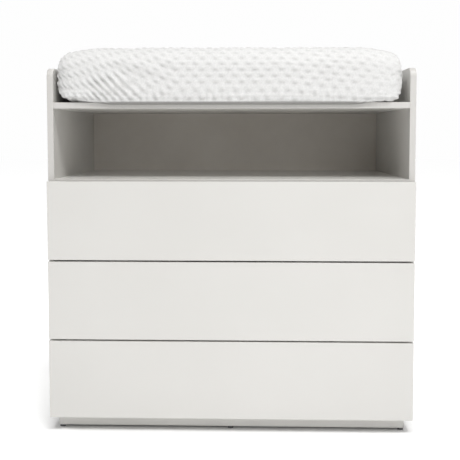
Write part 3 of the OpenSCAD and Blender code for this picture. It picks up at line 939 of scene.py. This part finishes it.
read_cloth(pad_cover.data)
places = vertex_places(pad_cover.data)
heights = folds(places)
lifted = places + normals_of(pad_cover.data) * (heights * (1 - under_flat(places)))[:, None]
pad_cover.data.vertices.foreach_set("co", lifted.astype(np.float32).ravel())
rows = pad_cover.data.attributes.new("row_way", "FLOAT", "POINT")
row_way = np.abs(CLOTH["across"]) - row_shift(CLOTH["along"])
rows.data.foreach_set("value", row_way.astype(np.float32))
pad_cover.data.update()
print("folds from", round(1000 * float(heights.min()), 1), "to", round(1000 * float(heights.max()), 1), "mm")

# %% [markdown]
# ## The pad: raised dots
# The plush is knitted with small round cushions in staggered rows. They repeat
# over the whole cloth, so Geometry Nodes raise them: each point finds the
# nearest dot of two interleaved grids from its place on the cloth, and moves
# out along its normal by a smooth hump. Under each dot the cloth is drawn in to
# a short crease, and the depth of that crease is also painted into the plush's
# colour as shade, on top of the painted shade of the folds and of the lip that
# hangs over the shelf.
# Towards the right end the dots are worn flatter.

# %% Raised dots
DOT_PITCH = 0.032
ROW_PITCH = 0.0285
DOT_RADIUS = 0.0066
DOT_HEIGHT = 0.0016
DOT_STRETCH = 0.8       # squeezes the way along the pad, so dots are wider than high
PINCH_BELOW = 0.0066    # how far under a dot its shadowed crease lies
PINCH_SIZE = (0.0072, 0.0027)
PINCH_DEPTH = 0.0016
# painted shade: how strongly the creases under the dots, the folds' valleys and the hanging lip are darkened as if in
# shadow
CREASE_SHADE = 0.22     # how dark the creases, the folds' valleys and the hanging lip are
FOLD_SHADE = 0.05
LIP_SHADE = 0.85
FOLD_FULL = 0.0025      # a valley this deep is fully shaded
WEAR = 0.45             # how far the dots are flattened towards the right end
CREASE_FALL = 0.37      # what is left of a crease one size away from its middle


def sum_up(tree, operation, first, second=None, third=None):
    node = tree.nodes.new("ShaderNodeMath")
    node.operation = operation
    for socket, value in zip(node.inputs, (first, second, third)):
        if value is None:
            continue
        if isinstance(value, bpy.types.NodeSocket):
            tree.links.new(value, socket)
        else:
            socket.default_value = value
    return node.outputs[0]


def off_centre(tree, value, pitch, offset):
    """Distance from the middle of the nearest cell, in metres."""
    cell = sum_up(tree, "FRACT", sum_up(tree, "ADD", sum_up(tree, "DIVIDE", value, pitch), offset))
    return sum_up(tree, "MULTIPLY", sum_up(tree, "SUBTRACT", cell, 0.5), pitch)


def hanging_lip(places):
    """1 on the front foot's lower edge, which hangs in its own shadow in front of the shelf."""
    front = smooth_step(PAD_MIDDLE.y - places[:, 1], PAD_DEPTH / 2 - 0.03, PAD_DEPTH / 2 - 0.015)
    return front * smooth_step(PAD_LOW.z + 0.0015 - places[:, 2], 0, 0.0025)


def distance(tree, a, b):
    return sum_up(tree, "SQRT", sum_up(tree, "ADD", sum_up(tree, "MULTIPLY", a, a), sum_up(tree, "MULTIPLY", b, b)))


def dots_tree():
    tree, given, result = node_tree("raised dots", [
        ("Dot pitch", "NodeSocketFloat"), ("Row pitch", "NodeSocketFloat"), ("Dot radius", "NodeSocketFloat"),
        ("Dot height", "NodeSocketFloat"), ("Pinch depth", "NodeSocketFloat"), ("Cloth", "NodeSocketMaterial")])
    read = {}
    for name in ("along", "row_way", "lying_flat", "painted_shade"):
        node = tree.nodes.new("GeometryNodeInputNamedAttribute")
        node.data_type = "FLOAT"
        node.inputs["Name"].default_value = name
        read[name] = node.outputs["Attribute"]
    reach, creases = [], []
    for offset in (0.0, 0.5):
        a = off_centre(tree, read["along"], given.outputs["Dot pitch"], offset)
        b = off_centre(tree, read["row_way"], given.outputs["Row pitch"], offset)
        reach.append(distance(tree, sum_up(tree, "MULTIPLY", a, DOT_STRETCH), b))
        below = sum_up(tree, "SUBTRACT", b, PINCH_BELOW)
        off = distance(tree, sum_up(tree, "DIVIDE", a, PINCH_SIZE[0]), sum_up(tree, "DIVIDE", below, PINCH_SIZE[1]))
        creases.append(sum_up(tree, "POWER", CREASE_FALL, sum_up(tree, "MULTIPLY", off, off)))
    standing = sum_up(tree, "SUBTRACT", 1.0, read["lying_flat"])
    crease = sum_up(tree, "MULTIPLY", sum_up(tree, "ADD", *creases), standing)
    near = sum_up(tree, "DIVIDE", sum_up(tree, "MINIMUM", *reach), given.outputs["Dot radius"])
    inside = sum_up(tree, "MAXIMUM", sum_up(tree, "SUBTRACT", 1.0, sum_up(tree, "MULTIPLY", near, near)), 0.0)
    hump = sum_up(tree, "POWER", inside, 0.8)
    raised = sum_up(tree, "MULTIPLY", sum_up(tree, "MULTIPLY", hump, given.outputs["Dot height"]), standing)
    height = sum_up(tree, "SUBTRACT", raised, sum_up(tree, "MULTIPLY", crease, given.outputs["Pinch depth"]))
    out = tree.nodes.new("ShaderNodeVectorMath")
    out.operation = "SCALE"
    tree.links.new(tree.nodes.new("GeometryNodeInputNormal").outputs[0], out.inputs[0])
    tree.links.new(height, out.inputs["Scale"])
    move = tree.nodes.new("GeometryNodeSetPosition")
    tree.links.new(given.outputs["Geometry"], move.inputs["Geometry"])
    tree.links.new(out.outputs[0], move.inputs["Offset"])
    keep = tree.nodes.new("GeometryNodeStoreNamedAttribute")
    keep.data_type, keep.domain = "FLOAT", "POINT"
    keep.inputs["Name"].default_value = "painted_shade"
    # painted shade: the crease under each dot is added to the cloth's painted-shade value
    dark = sum_up(tree, "ADD", read["painted_shade"], sum_up(tree, "MULTIPLY", crease, CREASE_SHADE))
    tree.links.new(move.outputs[0], keep.inputs["Geometry"])
    tree.links.new(dark, next(i for i in keep.inputs if i.name == "Value" and i.enabled))
    return finish_tree(tree, keep.outputs[0], given.outputs["Cloth"], result)


flat = pad_cover.data.attributes.new("lying_flat", "FLOAT", "POINT")
worn = WEAR * smooth_step(CLOTH["along"], 0.27, 0.40)
flat.data.foreach_set("value", np.maximum(under_flat(lifted), worn).astype(np.float32))
painted_shade = pad_cover.data.attributes.new("painted_shade", "FLOAT", "POINT")
# painted shade: the folds' valleys and the lip that hangs in its own shadow are darkened
valleys = np.clip(-heights / FOLD_FULL, 0, 1) * (1 - under_flat(places))
dark = LIP_SHADE * hanging_lip(lifted) + FOLD_SHADE * valleys
painted_shade.data.foreach_set("value", dark.astype(np.float32))
pad_cover.data.materials.append(MATERIALS["dotted_plush"])
run_nodes(pad_cover, dots_tree(), Dot_pitch=DOT_PITCH, Row_pitch=ROW_PITCH, Dot_radius=DOT_RADIUS,
          Dot_height=DOT_HEIGHT, Pinch_depth=PINCH_DEPTH, Cloth=MATERIALS["dotted_plush"])
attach(pad_cover, "changing_pad")
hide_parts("pad_cover")
print("pad cover:", len(pad_cover.data.polygons), "faces")

# %% [markdown]
# ## The pad: foam and elastic
# Turned over, the pad shows its foam inside the hem, and the elastic that draws
# the hem tight. The foam is the same form drawn in, so it fills the cover
# without touching it. The elastic is a flat band swept round the opening, and
# its gathers are ripples in its height.

# %% Foam and elastic
FOAM_ROOM = 0.011
FOAM_LOW = 0.0016       # height of the foam's underside inside the opening
FOAM_ON_HEM = 0.009     # and where it lies on the hem
BAND_WIDTH = 0.006
BAND_THICKNESS = 0.0014
BAND_CORNER = 0.02
BAND_LIFT = 0.0004
PUCKER = 0.0005
PUCKER_STEP = 0.007

foam_form, foam_faces, _ = pad_form(FOAM_ROOM)
foam_form[:, 2] -= (FOAM_ROOM - FOAM_LOW) * (1 - smooth_step(foam_form[:, 2], FOAM_ROOM, FOAM_ROOM + 0.004))
inside = hem_ring(foam_form[:, 0], foam_form[:, 1]) > 0.001
on_hem = ~inside & (foam_form[:, 2] <= 0.02)
foam_form[:, 2] = np.where(on_hem, np.maximum(foam_form[:, 2], FOAM_ON_HEM), foam_form[:, 2])
foam_core = mesh_piece("foam_core", shape_pad(foam_form), foam_faces)
dress(foam_core, "foam")
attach(foam_core, "changing_pad")
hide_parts("pad_core")


def rounded_loop(half_x, half_y, corner, step):
    """Points and outward directions round a rectangle with round corners."""
    spots = []
    for turn, sx, sy in ((0, 1, 1), (90, -1, 1), (180, -1, -1), (270, 1, -1)):
        for angle in np.radians(np.linspace(turn, turn + 90, 10)):
            out = np.array((math.cos(angle), math.sin(angle)))
            spots.append(np.array((sx * (half_x - corner), sy * (half_y - corner))) + corner * out)
    spots = np.array(spots + spots[:1])
    way = np.concatenate(([0], np.cumsum(np.linalg.norm(np.diff(spots, axis=0), axis=1))))
    even = np.linspace(0, way[-1], round(way[-1] / step), endpoint=False)
    loop = np.column_stack([np.interp(even, way, spots[:, i]) for i in range(2)])
    ahead = np.roll(loop, -1, axis=0) - np.roll(loop, 1, axis=0)
    ahead /= np.linalg.norm(ahead, axis=1, keepdims=True)
    return loop, np.column_stack((ahead[:, 1], -ahead[:, 0])), even


loop, outward, way = rounded_loop(PAD_LENGTH / 2 - HEM_REACH - 0.001, PAD_DEPTH / 2 - HEM_REACH - 0.001,
                                  BAND_CORNER, 0.002)
pucker = PUCKER * (1 + np.sin(way * 2 * math.pi / PUCKER_STEP))
corners = ((0, 0), (0, BAND_THICKNESS), (-BAND_WIDTH, BAND_THICKNESS), (-BAND_WIDTH, 0))
band_points = np.concatenate([
    np.column_stack((loop + outward * (aside - pucker[:, None]), np.full(len(loop), BAND_LIFT + up) + pucker))
    for aside, up in corners])
n_loop = len(loop)
band_faces = [(k * n_loop + i, k * n_loop + (i + 1) % n_loop, ((k + 1) % 4) * n_loop + (i + 1) % n_loop,
               ((k + 1) % 4) * n_loop + i) for k in range(4) for i in range(n_loop)]
band = mesh_piece("hem_elastic", band_points + np.array((PAD_MIDDLE.x, PAD_MIDDLE.y, PAD_LOW.z)), band_faces)
band.data.set_sharp_from_angle(angle=math.radians(50))
dress(band, "elastic")
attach(band, "changing_pad")
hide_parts("pad_elastic")
print("foam", round(1000 * volume(foam_core), 1), "litres, elastic", round(1e6 * volume(band), 1), "cm3")
